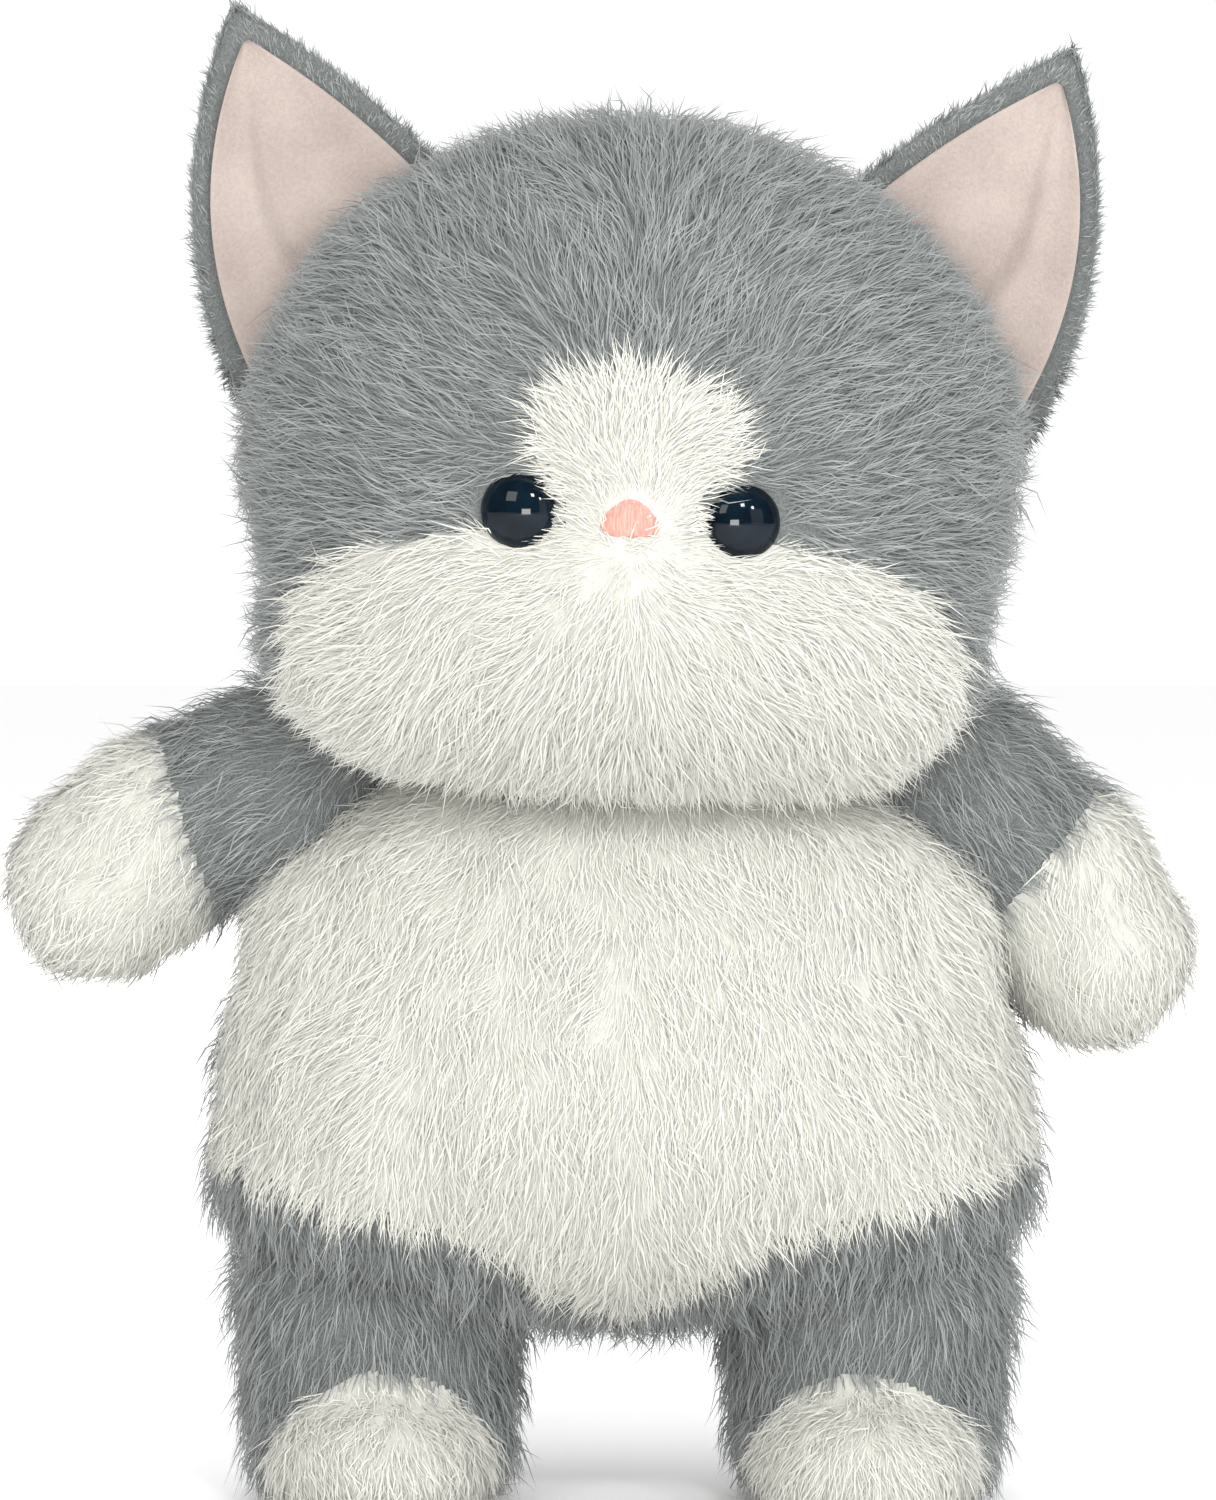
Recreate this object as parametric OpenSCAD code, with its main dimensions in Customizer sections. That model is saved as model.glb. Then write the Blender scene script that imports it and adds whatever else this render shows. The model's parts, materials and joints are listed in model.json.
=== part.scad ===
// Stuffed plush cat, standing on two short legs, face towards -Y, its own left side at +X.
// Every fabric panel is a shell: knitted backing with its packed-down pile. Fibre stuffing fills it.
// Limbs and head turn on balls of stuffing held in round sockets, which stand for the sewn joins.

/* [Fabric] */
// Thickness of the long-pile plush, backing and packed-down pile
fabric = 6; // [4:0.5:8]
// Thickness of the plush on the arms, which is clipped shorter
arm_fabric = 4; // [3:0.5:5]
// Gap between a panel and the stuffing behind it
slack = 0.2; // [0.1:0.1:0.5]
// Gap between two pieces that move apart
swing_gap = 0.4; // [0.3:0.1:1]

/* [Body] */
// Half width of the hips
hip_half_w = 120; // [110:1:130]
// Half depth of the hips
hip_half_d = 86; // [76:1:92]
// Half height of the hip egg
hip_half_h = 72; // [68:1:76]
// Height of the hip egg's centre above the floor
hip_z = 126; // [122:1:130]
// Half width of the chest
chest_half_w = 115; // [105:1:120]
// Half depth of the chest
chest_half_d = 72; // [64:1:78]
// Half height of the chest egg
chest_half_h = 60; // [54:1:66]
// Height of the chest egg's centre above the floor
chest_z = 172; // [166:1:178]

/* [Head] */
// Sideways lean of the head at rest, degrees towards the cat's left
head_lean = 3; // [0:0.5:5]
// Half width of the head
head_half_w = 112; // [104:1:118]
// Half depth of the head
head_half_d = 92; // [84:1:98]
// Half height of the head
head_half_h = 100; // [94:1:104]
// Height of the head's centre above the floor
head_z = 313; // [308:1:318]
// Half width of the cheeks
muzzle_half_w = 88; // [80:1:94]
// Height of the nose above the floor
nose_z = 296; // [290:1:300]

/* [Eyes] */
// Diameter of the glossy eye dome
eye_d = 22.4; // [18:0.2:23]
// Half the distance between the eyes
eye_x = 31.5; // [28:0.5:38]
// Height of the eyes above the floor
eye_z = 299; // [292:0.5:304]
// Outward turn of each eye, degrees
eye_turn = 12; // [0:1:20]

/* [Ears] */
// Thickness of the furry back of an ear
ear_back_t = 5; // [4:0.5:6]
// Thickness of the short-pile ear lining
ear_lining_t = 2; // [1.5:0.5:3]
// Margin of the lining inside the ear's outline
ear_margin = 5; // [3:0.5:8]

/* [Arms] */
// Downward slope of the cat's left arm at rest, degrees
arm_drop_left = 40; // [30:1:41]
// Downward slope of the cat's right arm at rest, degrees
arm_drop_right = 18; // [10:1:38]
// Further droop of the paw against its sleeve, degrees
paw_droop = 20; // [0:1:25]
// Radius of the shoulder ball
shoulder_r = 30; // [29:1:31]
// Distance from shoulder to the paw's centre
paw_reach = 55; // [50:1:58]

/* [Legs] */
// Radius of the hip ball
leg_r = 44; // [40:1:46]
// Height of the hip joint above the floor
leg_z = 60; // [56:1:64]
// Half the distance between the two hips
leg_x = 73; // [70:1:76]
// Thickness of the sole
sole_t = 3; // [2:0.5:4]

/* [Tail] */
// Radius of the tail
tail_r = 12; // [10:1:13]
// Length of the tail between its end balls
tail_l = 52; // [40:1:60]
// Backward lean of the tail, degrees
tail_lean = 40; // [38:1:45]

/* [Hidden] */
$fn = 64;

axis_x = 4.5;          // the body's own axis, so that the whole toy is centred on the origin
axis_y = -13.7;
far = 400;             // longer than any part, for cutting regions
neck = [-2.5, 0, 214]; // centre of the neck ball
neck_z = neck[2];
neck_r = 34;
head_y = -6;           // the head sits a little forward of the body's axis
muzzle = [0, -44, 267];
muzzle_half_d = 58;
muzzle_half_h = 51;
chest_y = 3;
head_room = [122, 114, 116];
seam_y = 1;            // the side seam between belly and back
shoulder = [98, 4, 212];
paw_half_l = 36;
paw_half_w = 28.5;
sleeve_r = 23;
cuff = 26;             // distance from shoulder to the seam between sleeve and paw
hip = [leg_x, 4, leg_z];
shaft_r = 42;
ankle_r = 35;
toe = [0, -26, 16];    // toe egg's centre, from the point on the floor below the hip
toe_half = [33, 42, 22];
toe_lean = 24;         // lean of the seam between the leg and its toe cap, degrees
tail_root = [0, 84, 88];
nose_w = 18;
nose_h = 11;
shank_r = 2.5;
rim_r = 12.2;

// --- helpers -------------------------------------------------------------------------------

// An egg: a sphere stretched to three half sizes. Its poles can be turned away from a piece's seams.
upright = [0, 0, 0];
tipped = [35, 25, 0];
lying = [90, 0, 30];
module egg(centre, half, poles = tipped) translate(centre) scale(half) rotate(poles) sphere(r = 1);

// A front view outline, in X and Z, pushed through the toy from front to back.
module front_prism() rotate([90, 0, 0]) linear_extrude(height = 2 * far, center = true) children();

// The half of space on the cat's left of the middle plane.
module left_half() translate([0, -far, -far]) cube([far, 2 * far, 2 * far]);

// The space in front of the plane y, or behind it.
module front_of(y) translate([-far, y - 2 * far, -far]) cube([2 * far, 2 * far, 2 * far]);
module behind(y) translate([-far, y, -far]) cube([2 * far, 2 * far, 2 * far]);

// The pose of the head: leaning sideways about the neck.
module leaned() translate(neck) rotate([0, head_lean, 0]) translate([0, 0, -neck_z]) children();

// Puts a left-hand piece on either side.
module on_side(side) {
    if (side > 0) children();
    else mirror([1, 0, 0]) children();
}

// Moves a piece from the body's axis to the toy's own frame.
module placed() translate([axis_x, axis_y, 0]) children();

// --- head ----------------------------------------------------------------------------------

module head_form(inset, poles = tipped) {
    egg([0, head_y, head_z], [head_half_w - inset, head_half_d - inset, head_half_h - inset], poles);
    egg(muzzle, [muzzle_half_w - inset, muzzle_half_d - inset, muzzle_half_h - inset], poles);
}

module head_shell(poles = tipped) difference() {
    head_form(0, poles);
    head_form(fabric, poles);
    translate([0, 0, neck_z]) sphere(r = neck_r + swing_gap);
}

// Outline of the two cheeks.
module cheek_outline() translate([0, 247]) scale([106, 45]) circle(r = 1);

// Outline of the white stripe between the eyes, down into the cheeks.
module blaze_outline() translate([0, 305]) scale([30, 40]) circle(r = 1);

// Everything that passes through the front of the head: eyes, shanks and nose.
module face_holes() {
    for (side = [-1, 1]) on_side(side) eye_place() {
        translate([0, 0, -0.2]) cylinder(r = rim_r + 0.3, h = 30);
        translate([0, 0, -20]) cylinder(r = shank_r + 0.2, h = 25);
    }
    nose_place() nose_outline(0.3, 30);
}

module face_panel(poles) difference() {
    intersection() {
        head_shell(poles);
        front_of(head_y);
        children();
    }
    face_holes();
}

module forehead(side) color("lightslategray") on_side(side) difference() {
    face_panel(tipped) left_half();
    front_prism() cheek_outline();
    front_prism() blaze_outline();
}

module blaze() color("whitesmoke") difference() {
    face_panel(tipped) front_prism() blaze_outline();
    front_prism() cheek_outline();
}

module cheek(side) color("whitesmoke") on_side(side) intersection() {
    face_panel(upright) front_prism() cheek_outline();
    left_half();
}

module head_back(side) color("slategray") on_side(side) intersection() {
    head_shell(upright);
    behind(head_y);
    left_half();
}

module head_stuffing() color("ivory") difference() {
    head_form(fabric + slack, upright);
    translate([0, 0, neck_z]) sphere(r = neck_r + swing_gap);
    for (side = [-1, 1]) on_side(side) eye_place() {
        translate([0, 0, -20]) cylinder(r = 9.5, h = 20);
        translate([0, 0, -0.3]) cylinder(r = rim_r + 0.3, h = 30);
    }
    nose_place() nose_outline(0.3, 30);
}

// --- eyes and nose ---------------------------------------------------------------------------

// Puts a left eye, built looking up +Z, on the face with its back on the fabric's backing.
module eye_place() translate([eye_x, -85.5, eye_z]) rotate([0, 0, eye_turn]) rotate([90, 0, 0]) children();

// A domed button with a flat back.
module eye_dome(side) color("midnightblue") on_side(side) eye_place() translate([0, 0, 2.6])
    intersection() {
        cylinder(d = eye_d, h = 20);
        egg([0, 0, 0], [eye_d / 2, eye_d / 2, 7.2], upright);
    }

// The brown rim behind the dome, in one piece with its ribbed shank.
module eye_rim(side) color("saddlebrown") on_side(side) eye_place() {
    cylinder(r = rim_r, h = 1.6);
    translate([0, 0, 1.6]) cylinder(r1 = rim_r, r2 = eye_d / 2 + 0.2, h = 1);
    translate([0, 0, -14]) cylinder(r = shank_r, h = 14.5);
    for (z = [-13.5:2:-9.5]) translate([0, 0, z]) cylinder(r1 = shank_r - 0.1, r2 = shank_r + 0.3, h = 1);
}

// The lock washer pushed on the shank inside the head.
module eye_washer(side) color("white") on_side(side) eye_place() translate([0, 0, -8.2]) difference() {
    union() {
        cylinder(r = 9, h = 1.5);
        cylinder(r = 4.6, h = 3);
    }
    translate([0, 0, -1]) cylinder(r = shank_r + 0.2, h = 6);
}

module nose_place() translate([0, -89, nose_z]) rotate([90, 0, 0]) children();

// A soft triangle with a rounded point at its top and a broad, rounded lower edge.
module nose_outline(grow, height) linear_extrude(height = height) polygon([for (a = [0:12:348]) [
    (nose_w / 2 + grow) * cos(a) * (1 - 0.28 * sin(a)) / 1.02,
    (nose_h / 2 + grow) * sin(a)]]);

module nose() color("lightcoral") nose_place() translate([0, 0, 0.3]) nose_outline(0, 8.2);

// --- ears --------------------------------------------------------------------------------------

// Front view of a left ear, in the upright head's X and Z: base end, inner base end, tip, and a full outer edge.
ear_out = [114.5, 320];
ear_in = [57, 393];
ear_tip = [120, 436];
ear_bow = 13;
ear_gap = 2;

// A bowed edge from a to b, standing out by bow at its middle, as points.
function bowed(a, b, bow, n) = let (d = b - a, s = [d[1], -d[0]] / norm(d))
    [for (i = [0:n - 1]) let (t = i / n) a + d * t + s * bow * 4 * t * (1 - t)];

module ear_outline(inset) offset(delta = -inset) offset(r = 5) offset(delta = -5) polygon(concat(
    bowed(ear_in, ear_out, 2, 6),
    bowed(ear_out, ear_tip, ear_bow, 10),
    bowed(ear_tip, ear_in, 2, 6)));

ear_y = 10;            // the ear stands on the seam between the front and the back of the head

module ear_plate(inset, y_front, t) difference() {
    translate([0, y_front + t, 0]) rotate([90, 0, 0]) linear_extrude(height = t) ear_outline(inset);
    egg([0, head_y, head_z], [head_half_w + ear_gap, head_half_d + ear_gap, head_half_h + ear_gap]);
}

module ear_back(side) color("slategray") on_side(side) ear_plate(0, ear_y, ear_back_t);

module ear_lining(side) color("mistyrose") on_side(side)
    ear_plate(ear_margin, ear_y - ear_lining_t - 0.1, ear_lining_t);

// --- neck --------------------------------------------------------------------------------------

module neck_stuffing() color("ivory") translate(neck) sphere(r = neck_r);

// --- body --------------------------------------------------------------------------------------

module body_form(inset, poles = tipped) {
    egg([0, 0, hip_z], [hip_half_w - inset, hip_half_d - inset, hip_half_h - inset], poles);
    egg([0, chest_y, chest_z], [chest_half_w - inset, chest_half_d - inset, chest_half_h - inset], poles);
}

// Room left in the body for everything that moves against it.
module body_room() {
    translate(neck) sphere(r = neck_r + swing_gap);
    egg([0, -10, head_z], head_room);
    for (side = [-1, 1]) on_side(side) {
        translate(shoulder) {
            sphere(r = shoulder_r + swing_gap);
            rotate([0, arm_drop_left + 1, 0]) arm_solid(-1);
        }
        translate(hip) {
            sphere(r = leg_r + swing_gap);
            for (a = [-10, 5, 20]) rotate([-a, 0, 0]) translate([0, 0, -far]) cylinder(r = shaft_r + 1, h = far);
        }
    }
    tail_form(-swing_gap);
}

module body_shell(poles) difference() {
    body_form(0, poles);
    body_form(fabric, poles);
    body_room();
}

// Outline of the white belly, half of it: wide at the hips, a shallow point between the legs.
module belly_outline() polygon([
    [0, 40], [30, 62], [60, 76], [92, 84], [130, 92], [130, 150], [112, 186], [100, 215], [92, 260], [0, 260]]);

module belly(side) color("whitesmoke") on_side(side) intersection() {
    body_shell(lying);
    front_of(seam_y);
    front_prism() belly_outline();
}

module back(side) color("slategray") on_side(side) difference() {
    intersection() {
        body_shell(tipped);
        left_half();
    }
    intersection() {
        front_of(seam_y);
        front_prism() belly_outline();
    }
}

module body_stuffing() color("ivory") difference() {
    body_form(fabric + slack);
    body_room();
}

// Ladder stitches that close the back seam after stuffing: short bars of thread across the seam.
stitch_n = 12;
module closing_stitches() color("dimgray") for (i = [0:stitch_n - 1]) let (
    z = 114 + 3 * i,
    y = hip_half_d * sqrt(1 - pow((z - hip_z) / hip_half_h, 2)))
    translate([-3, y - 0.4, z]) rotate([0, 90, 0]) cylinder(r = 0.5, h = 6);

// A blank folded satin label, sewn into the back seam under the tail.
module care_label() color("white") difference() {
    translate([-9, 46, 46]) cube([18, 1.2, 30]);
    translate([-10, 46.4, 48]) cube([20, 0.4, 30]);
    body_form(0);
}

// --- arms --------------------------------------------------------------------------------------

// A round bar along Z with ball ends, reaching half a length either way.
module ball_bar(r, half) {
    translate([0, 0, -half]) cylinder(r = r, h = 2 * half);
    for (z = [-half, half]) translate([0, 0, z]) sphere(r = r);
}

// A sleeve along +X from its shoulder ball, and the whole arm, with its paw drooping.
module sleeve_solid(inset) rotate([0, 90, 0]) cylinder(r = sleeve_r - inset, h = paw_reach - 12);

module shoulder_ball(inset) rotate([0, 90, 0]) sphere(r = shoulder_r - inset);

module arm_solid(inset) {
    sleeve_solid(inset);
    translate([paw_reach, 0, -4]) rotate([0, 90 + paw_droop, 0])
        ball_bar(paw_half_w - inset, paw_half_l - paw_half_w);
}

module arm_form(inset) {
    shoulder_ball(inset);
    arm_solid(inset);
}

module arm_place(side) on_side(side) translate(shoulder)
    rotate([0, side > 0 ? arm_drop_left : arm_drop_right, 0]) children();

module arm_shell() difference() {
    arm_form(0);
    arm_form(arm_fabric);
}

module beyond_cuff() translate([cuff, -far / 2, -far / 2]) cube(far);

module sleeve(side) color("slategray") arm_place(side) difference() {
    union() {
        shoulder_ball(0);
        sleeve_solid(0);
    }
    union() {
        shoulder_ball(arm_fabric);
        sleeve_solid(arm_fabric);
    }
    beyond_cuff();
}

module paw(side) color("whitesmoke") arm_place(side) intersection() {
    arm_shell();
    beyond_cuff();
}

module arm_stuffing(side) color("ivory") arm_place(side) arm_form(arm_fabric + slack);

// --- legs --------------------------------------------------------------------------------------

// A leg below the hip joint, standing flat on the floor at -leg_z.
module leg_form(inset) intersection() {
    union() {
        sphere(r = leg_r - inset);
        translate([0, 0, -leg_z]) cylinder(r1 = ankle_r - inset, r2 = shaft_r - inset, h = leg_z);
        egg(toe - [0, 0, leg_z], toe_half - [inset, inset, inset]);
    }
    translate([-far / 2, -far / 2, -leg_z + inset]) cube(far);
}

module leg_place(side) on_side(side) translate(hip) children();

module leg_shell() difference() {
    leg_form(0);
    leg_form(fabric);
    sole_slab();
}

module sole_slab() translate([-far / 2, -far / 2, -leg_z - 1]) cube([far, far, sole_t + 1]);

// The white toe cap is everything in front of a leaning seam.
module toe_region() translate([0, -28, -leg_z]) rotate([toe_lean, 0, 0]) translate([-far, -far, -far]) cube([2 * far, far, 2 * far]);

module leg_cover(side) color("slategray") leg_place(side) difference() {
    leg_shell();
    toe_region();
}

module foot(side) color("whitesmoke") leg_place(side) intersection() {
    leg_shell();
    toe_region();
}

module sole(side) color("gainsboro") leg_place(side) intersection() {
    leg_form(0);
    sole_slab();
}

module leg_stuffing(side) color("ivory") leg_place(side) leg_form(fabric + slack);

// --- tail --------------------------------------------------------------------------------------

// A short tail, rising along the back from its root ball.
module tail_form(inset) translate(tail_root) rotate([-tail_lean, 0, 0]) {
    sphere(r = tail_r - inset);
    cylinder(r = tail_r - inset, h = tail_l);
    translate([0, 0, tail_l]) sphere(r = tail_r - inset);
}

module tail_cover() color("slategray") difference() {
    tail_form(0);
    tail_form(arm_fabric);
}

module tail_stuffing() color("ivory") tail_form(arm_fabric + slack);

// --- nodes -------------------------------------------------------------------------------------

placed() {
    leaned() {
        forehead(1);  // forehead_left
        forehead(-1);  // forehead_right
        blaze();
        cheek(1);  // cheek_left
        cheek(-1);  // cheek_right
        head_back(1);  // head_back_left
        head_back(-1);  // head_back_right
        head_stuffing();
        nose();
        eye_dome(1);  // eye_dome_left
        eye_dome(-1);  // eye_dome_right
        eye_rim(1);  // eye_rim_left
        eye_rim(-1);  // eye_rim_right
        eye_washer(1);  // eye_washer_left
        eye_washer(-1);  // eye_washer_right
        ear_back(1);  // ear_back_left
        ear_back(-1);  // ear_back_right
        ear_lining(1);  // ear_lining_left
        ear_lining(-1);  // ear_lining_right
    }
    neck_stuffing();
    belly(1);  // belly_left
    belly(-1);  // belly_right
    back(1);  // back_left
    back(-1);  // back_right
    body_stuffing();
    closing_stitches();
    care_label();
    sleeve(1);  // sleeve_left
    sleeve(-1);  // sleeve_right
    paw(1);  // paw_left
    paw(-1);  // paw_right
    arm_stuffing(1);  // arm_stuffing_left
    arm_stuffing(-1);  // arm_stuffing_right
    leg_cover(1);  // leg_cover_left
    leg_cover(-1);  // leg_cover_right
    foot(1);  // foot_left
    foot(-1);  // foot_right
    sole(1);  // sole_left
    sole(-1);  // sole_right
    leg_stuffing(1);  // leg_stuffing_left
    leg_stuffing(-1);  // leg_stuffing_right
    tail_cover();
    tail_stuffing();
}
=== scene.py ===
import json
import math
import bpy
import numpy as np
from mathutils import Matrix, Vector


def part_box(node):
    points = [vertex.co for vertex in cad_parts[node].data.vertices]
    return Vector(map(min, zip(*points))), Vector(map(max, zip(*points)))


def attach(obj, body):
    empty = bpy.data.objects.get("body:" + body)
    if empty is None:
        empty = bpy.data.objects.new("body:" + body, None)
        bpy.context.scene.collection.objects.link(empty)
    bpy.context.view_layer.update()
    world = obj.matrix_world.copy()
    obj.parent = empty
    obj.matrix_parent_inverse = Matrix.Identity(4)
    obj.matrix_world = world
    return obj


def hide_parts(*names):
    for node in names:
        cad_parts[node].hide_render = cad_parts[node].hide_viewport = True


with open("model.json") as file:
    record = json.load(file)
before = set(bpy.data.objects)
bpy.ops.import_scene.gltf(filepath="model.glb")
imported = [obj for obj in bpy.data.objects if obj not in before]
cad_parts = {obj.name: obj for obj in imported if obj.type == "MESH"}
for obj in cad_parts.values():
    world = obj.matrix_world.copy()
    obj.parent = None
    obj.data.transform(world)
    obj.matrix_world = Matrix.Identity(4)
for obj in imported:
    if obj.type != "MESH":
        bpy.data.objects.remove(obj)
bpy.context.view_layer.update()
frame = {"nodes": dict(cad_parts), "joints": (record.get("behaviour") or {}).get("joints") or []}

# ------------------------------------------------------------------ camera, floor, light
# All shapes below are worked out in millimetres in the frame's own axes and made in metres.
MM = 0.001

CAM_TARGET = Vector((0.0, 0.0, 0.2245))
CAM_LIFT = math.radians(4.0)      # the toy is seen from slightly above its middle
CAM_FAR = 2.2
VIEW_HEIGHT = 0.4525              # what the view spans at the target
SENSOR = 30.0
cam_data = bpy.data.cameras.new("camera")
cam_data.sensor_fit = "VERTICAL"
cam_data.sensor_height = SENSOR
cam_data.lens = SENSOR * CAM_FAR / VIEW_HEIGHT
cam_data.dof.use_dof = False
cam = bpy.data.objects.new("camera", cam_data)
cam.location = CAM_TARGET + CAM_FAR * Vector((0.0, -math.cos(CAM_LIFT), math.sin(CAM_LIFT)))
cam.rotation_euler = (math.pi / 2 - CAM_LIFT, 0.0, 0.0)
bpy.context.scene.collection.objects.link(cam)
bpy.context.scene.camera = cam
bpy.context.scene.view_settings.view_transform = "Standard"


def shader(mat):
    return mat.node_tree.nodes["Principled BSDF"]


def principled(name, color, roughness=0.6, **sockets):
    """A material with plain values set straight on the Principled sockets."""
    mat = bpy.data.materials.new(name)
    mat.use_nodes = True
    shader(mat).inputs["Base Color"].default_value = (*color, 1.0)
    shader(mat).inputs["Roughness"].default_value = roughness
    for key, value in sockets.items():
        shader(mat).inputs[key.replace("_", " ")].default_value = value
    return mat


def node(mat, kind, **props):
    """A new shader node: each keyword sets a property of that name or else the input of that name."""
    n = mat.node_tree.nodes.new(kind)
    for key, value in props.items():
        if key in n.bl_rna.properties:
            setattr(n, key, value)
        else:
            n.inputs[key.replace("_", " ")].default_value = value
    return n


def wire(mat, a, out, b, into):
    """Links output out of node a to input into of node b."""
    mat.node_tree.links.new(a.outputs[out], b.inputs[into])


def split(quads):
    """Two triangles for each quad, cut from its first corner to its third."""
    return np.concatenate([quads[:, [0, 1, 2]], quads[:, [0, 2, 3]]])


def add_mesh(name, verts_mm, tris, mat, uv=None, smooth=True, normals=None):
    """A mesh object from arrays: points in millimetres, triangles, a UV pair for each corner, and
    shading normals for the points where the shape's own are too harsh."""
    mesh = bpy.data.meshes.new(name)
    mesh.vertices.add(len(verts_mm))
    mesh.vertices.foreach_set("co", (np.asarray(verts_mm) * MM).astype(np.float32).ravel())
    mesh.loops.add(tris.size)
    mesh.loops.foreach_set("vertex_index", tris.astype(np.int32).ravel())
    mesh.polygons.add(len(tris))
    mesh.polygons.foreach_set("loop_start", np.arange(0, tris.size, 3, dtype=np.int32))
    if uv is not None:
        layer = mesh.uv_layers.new(name="OFBake")
        layer.data.foreach_set("uv", uv.astype(np.float32).ravel())
    mesh.materials.append(mat)
    mesh.update(calc_edges=True)
    mesh.polygons.foreach_set("use_smooth", np.full(len(tris), smooth))
    if normals is not None:
        mesh.normals_split_custom_set_from_vertices(normals)
    obj = bpy.data.objects.new(name, mesh)
    bpy.context.scene.collection.objects.link(obj)
    return obj


FLOOR_HALF = 4000
floor_corners = np.array([[-1, -1, 0], [1, -1, 0], [1, 1, 0], [-1, 1, 0]]) * FLOOR_HALF
floor = add_mesh("floor", floor_corners, split(np.array([[0, 1, 2, 3]])),
                 principled("floor_paper", (0.96, 0.96, 0.96), 0.9), smooth=False)

SKY = 1.08
SKY_IN_GLOSS = 0.10               # dim in reflections, so gloss stays dark
world = bpy.data.worlds.new("studio")
world.use_nodes = True
backdrop = world.node_tree.nodes["Background"]
backdrop.inputs["Color"].default_value = (1.0, 1.0, 1.0, 1.0)
ray = world.node_tree.nodes.new("ShaderNodeLightPath")
dimmer = world.node_tree.nodes.new("ShaderNodeMapRange")
dimmer.inputs["To Min"].default_value = SKY
dimmer.inputs["To Max"].default_value = SKY_IN_GLOSS
world.node_tree.links.new(ray.outputs["Is Glossy Ray"], dimmer.inputs["Value"])
world.node_tree.links.new(dimmer.outputs["Result"], backdrop.inputs["Strength"])
bpy.context.scene.world = world


LIGHT_AIM = Vector((0, 0, 0.2))


def area_light(name, place, size, power, color):
    data = bpy.data.lights.new(name, "AREA")
    data.size = size
    data.energy = power
    data.color = color
    obj = bpy.data.objects.new(name, data)
    obj.location = place
    obj.rotation_euler = (LIGHT_AIM - Vector(place)).to_track_quat("-Z", "Y").to_euler()
    bpy.context.scene.collection.objects.link(obj)


area_light("key_light", (-1.2, -2.0, 1.5), 0.9, 12.0, (1.0, 0.98, 0.95))
area_light("fill_light", (1.8, -1.8, 0.7), 1.2, 4.0, (1.0, 1.0, 0.98))
area_light("low_light", (0.0, -2.6, 0.05), 0.8, 36.0, (1.0, 1.0, 0.98))
area_light("back_light", (0.3, 2.4, 0.8), 1.4, 26.0, (1.0, 1.0, 1.0))
area_light("spark_light_1", (0.50, -1.6, 1.35), 0.24, 8.5, (1.0, 1.0, 1.0))
area_light("spark_light_2", (1.25, -1.6, 1.25), 0.20, 6.0, (1.0, 1.0, 1.0))

# ------------------------------------------------------------------ anchors from the frame
JOINTS = {j["name"]: j for j in frame["joints"]}


def pivot(joint):
    return np.array(JOINTS[joint]["pos_m"]) / MM


NECK = pivot("head_nod")
FACE = np.array([NECK[0], NECK[1], 0.0])                       # the head's own upright axis
AXIS = (pivot("leg_left_swing") + pivot("leg_right_swing")) / 2 * (1, 1, 0) - (0, 4, 0)    # the body's
LEAN = math.radians(3.0)                                       # of the head, to one side
rng = np.random.default_rng(7)


def turn_y(points, angle, centre):
    """Points turned about an axis along +Y through centre, by the right-hand rule."""
    c, s = math.cos(angle), math.sin(angle)
    d = points - centre
    out = d.copy()
    out[..., 0] = d[..., 0] * c + d[..., 2] * s
    out[..., 2] = -d[..., 0] * s + d[..., 2] * c
    return out + centre


def unit(v):
    return v / np.maximum(np.linalg.norm(v, axis=-1, keepdims=True), 1e-9)


# ------------------------------------------------------------------ forms: stuffed shapes as fields
# A form is a field, negative inside, whose zero is the fabric. Eggs and bars melt into each other.
def egg(p, centre, half):
    """Distance from the centre in half-axes, less one, times the shortest half-axis."""
    q = (p - centre) / half
    r = np.linalg.norm(q, axis=-1)
    return (r - 1.0) * np.min(half)


def bar(p, a, b, r):
    """Distance to the line from a to b, less a radius."""
    d = b - a
    t = np.clip(((p - a) @ d) / (d @ d), 0.0, 1.0)
    return np.linalg.norm(p - a - t[..., None] * d, axis=-1) - r


def melt(fields, soft):
    """Smooth union: minus the log of the sum of exponentials of the fields."""
    return -soft * np.log(sum(np.exp(-f / soft) for f in fields))


def lumps(p, seed, size, depth):
    """Low uneven swells of stuffing: a sum of sine waves in seeded directions."""
    r = np.random.default_rng(seed)
    out = 0.0
    for _ in range(7):
        k = r.normal(size=3)
        out = out + np.sin((p @ k) * 2.6 / size + r.uniform(0, 6.28))
    return depth * out / 7.0


POLE_GAP = 0.004                  # radians from a pole to the first ring, under the hair
HALVINGS = 30


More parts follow.
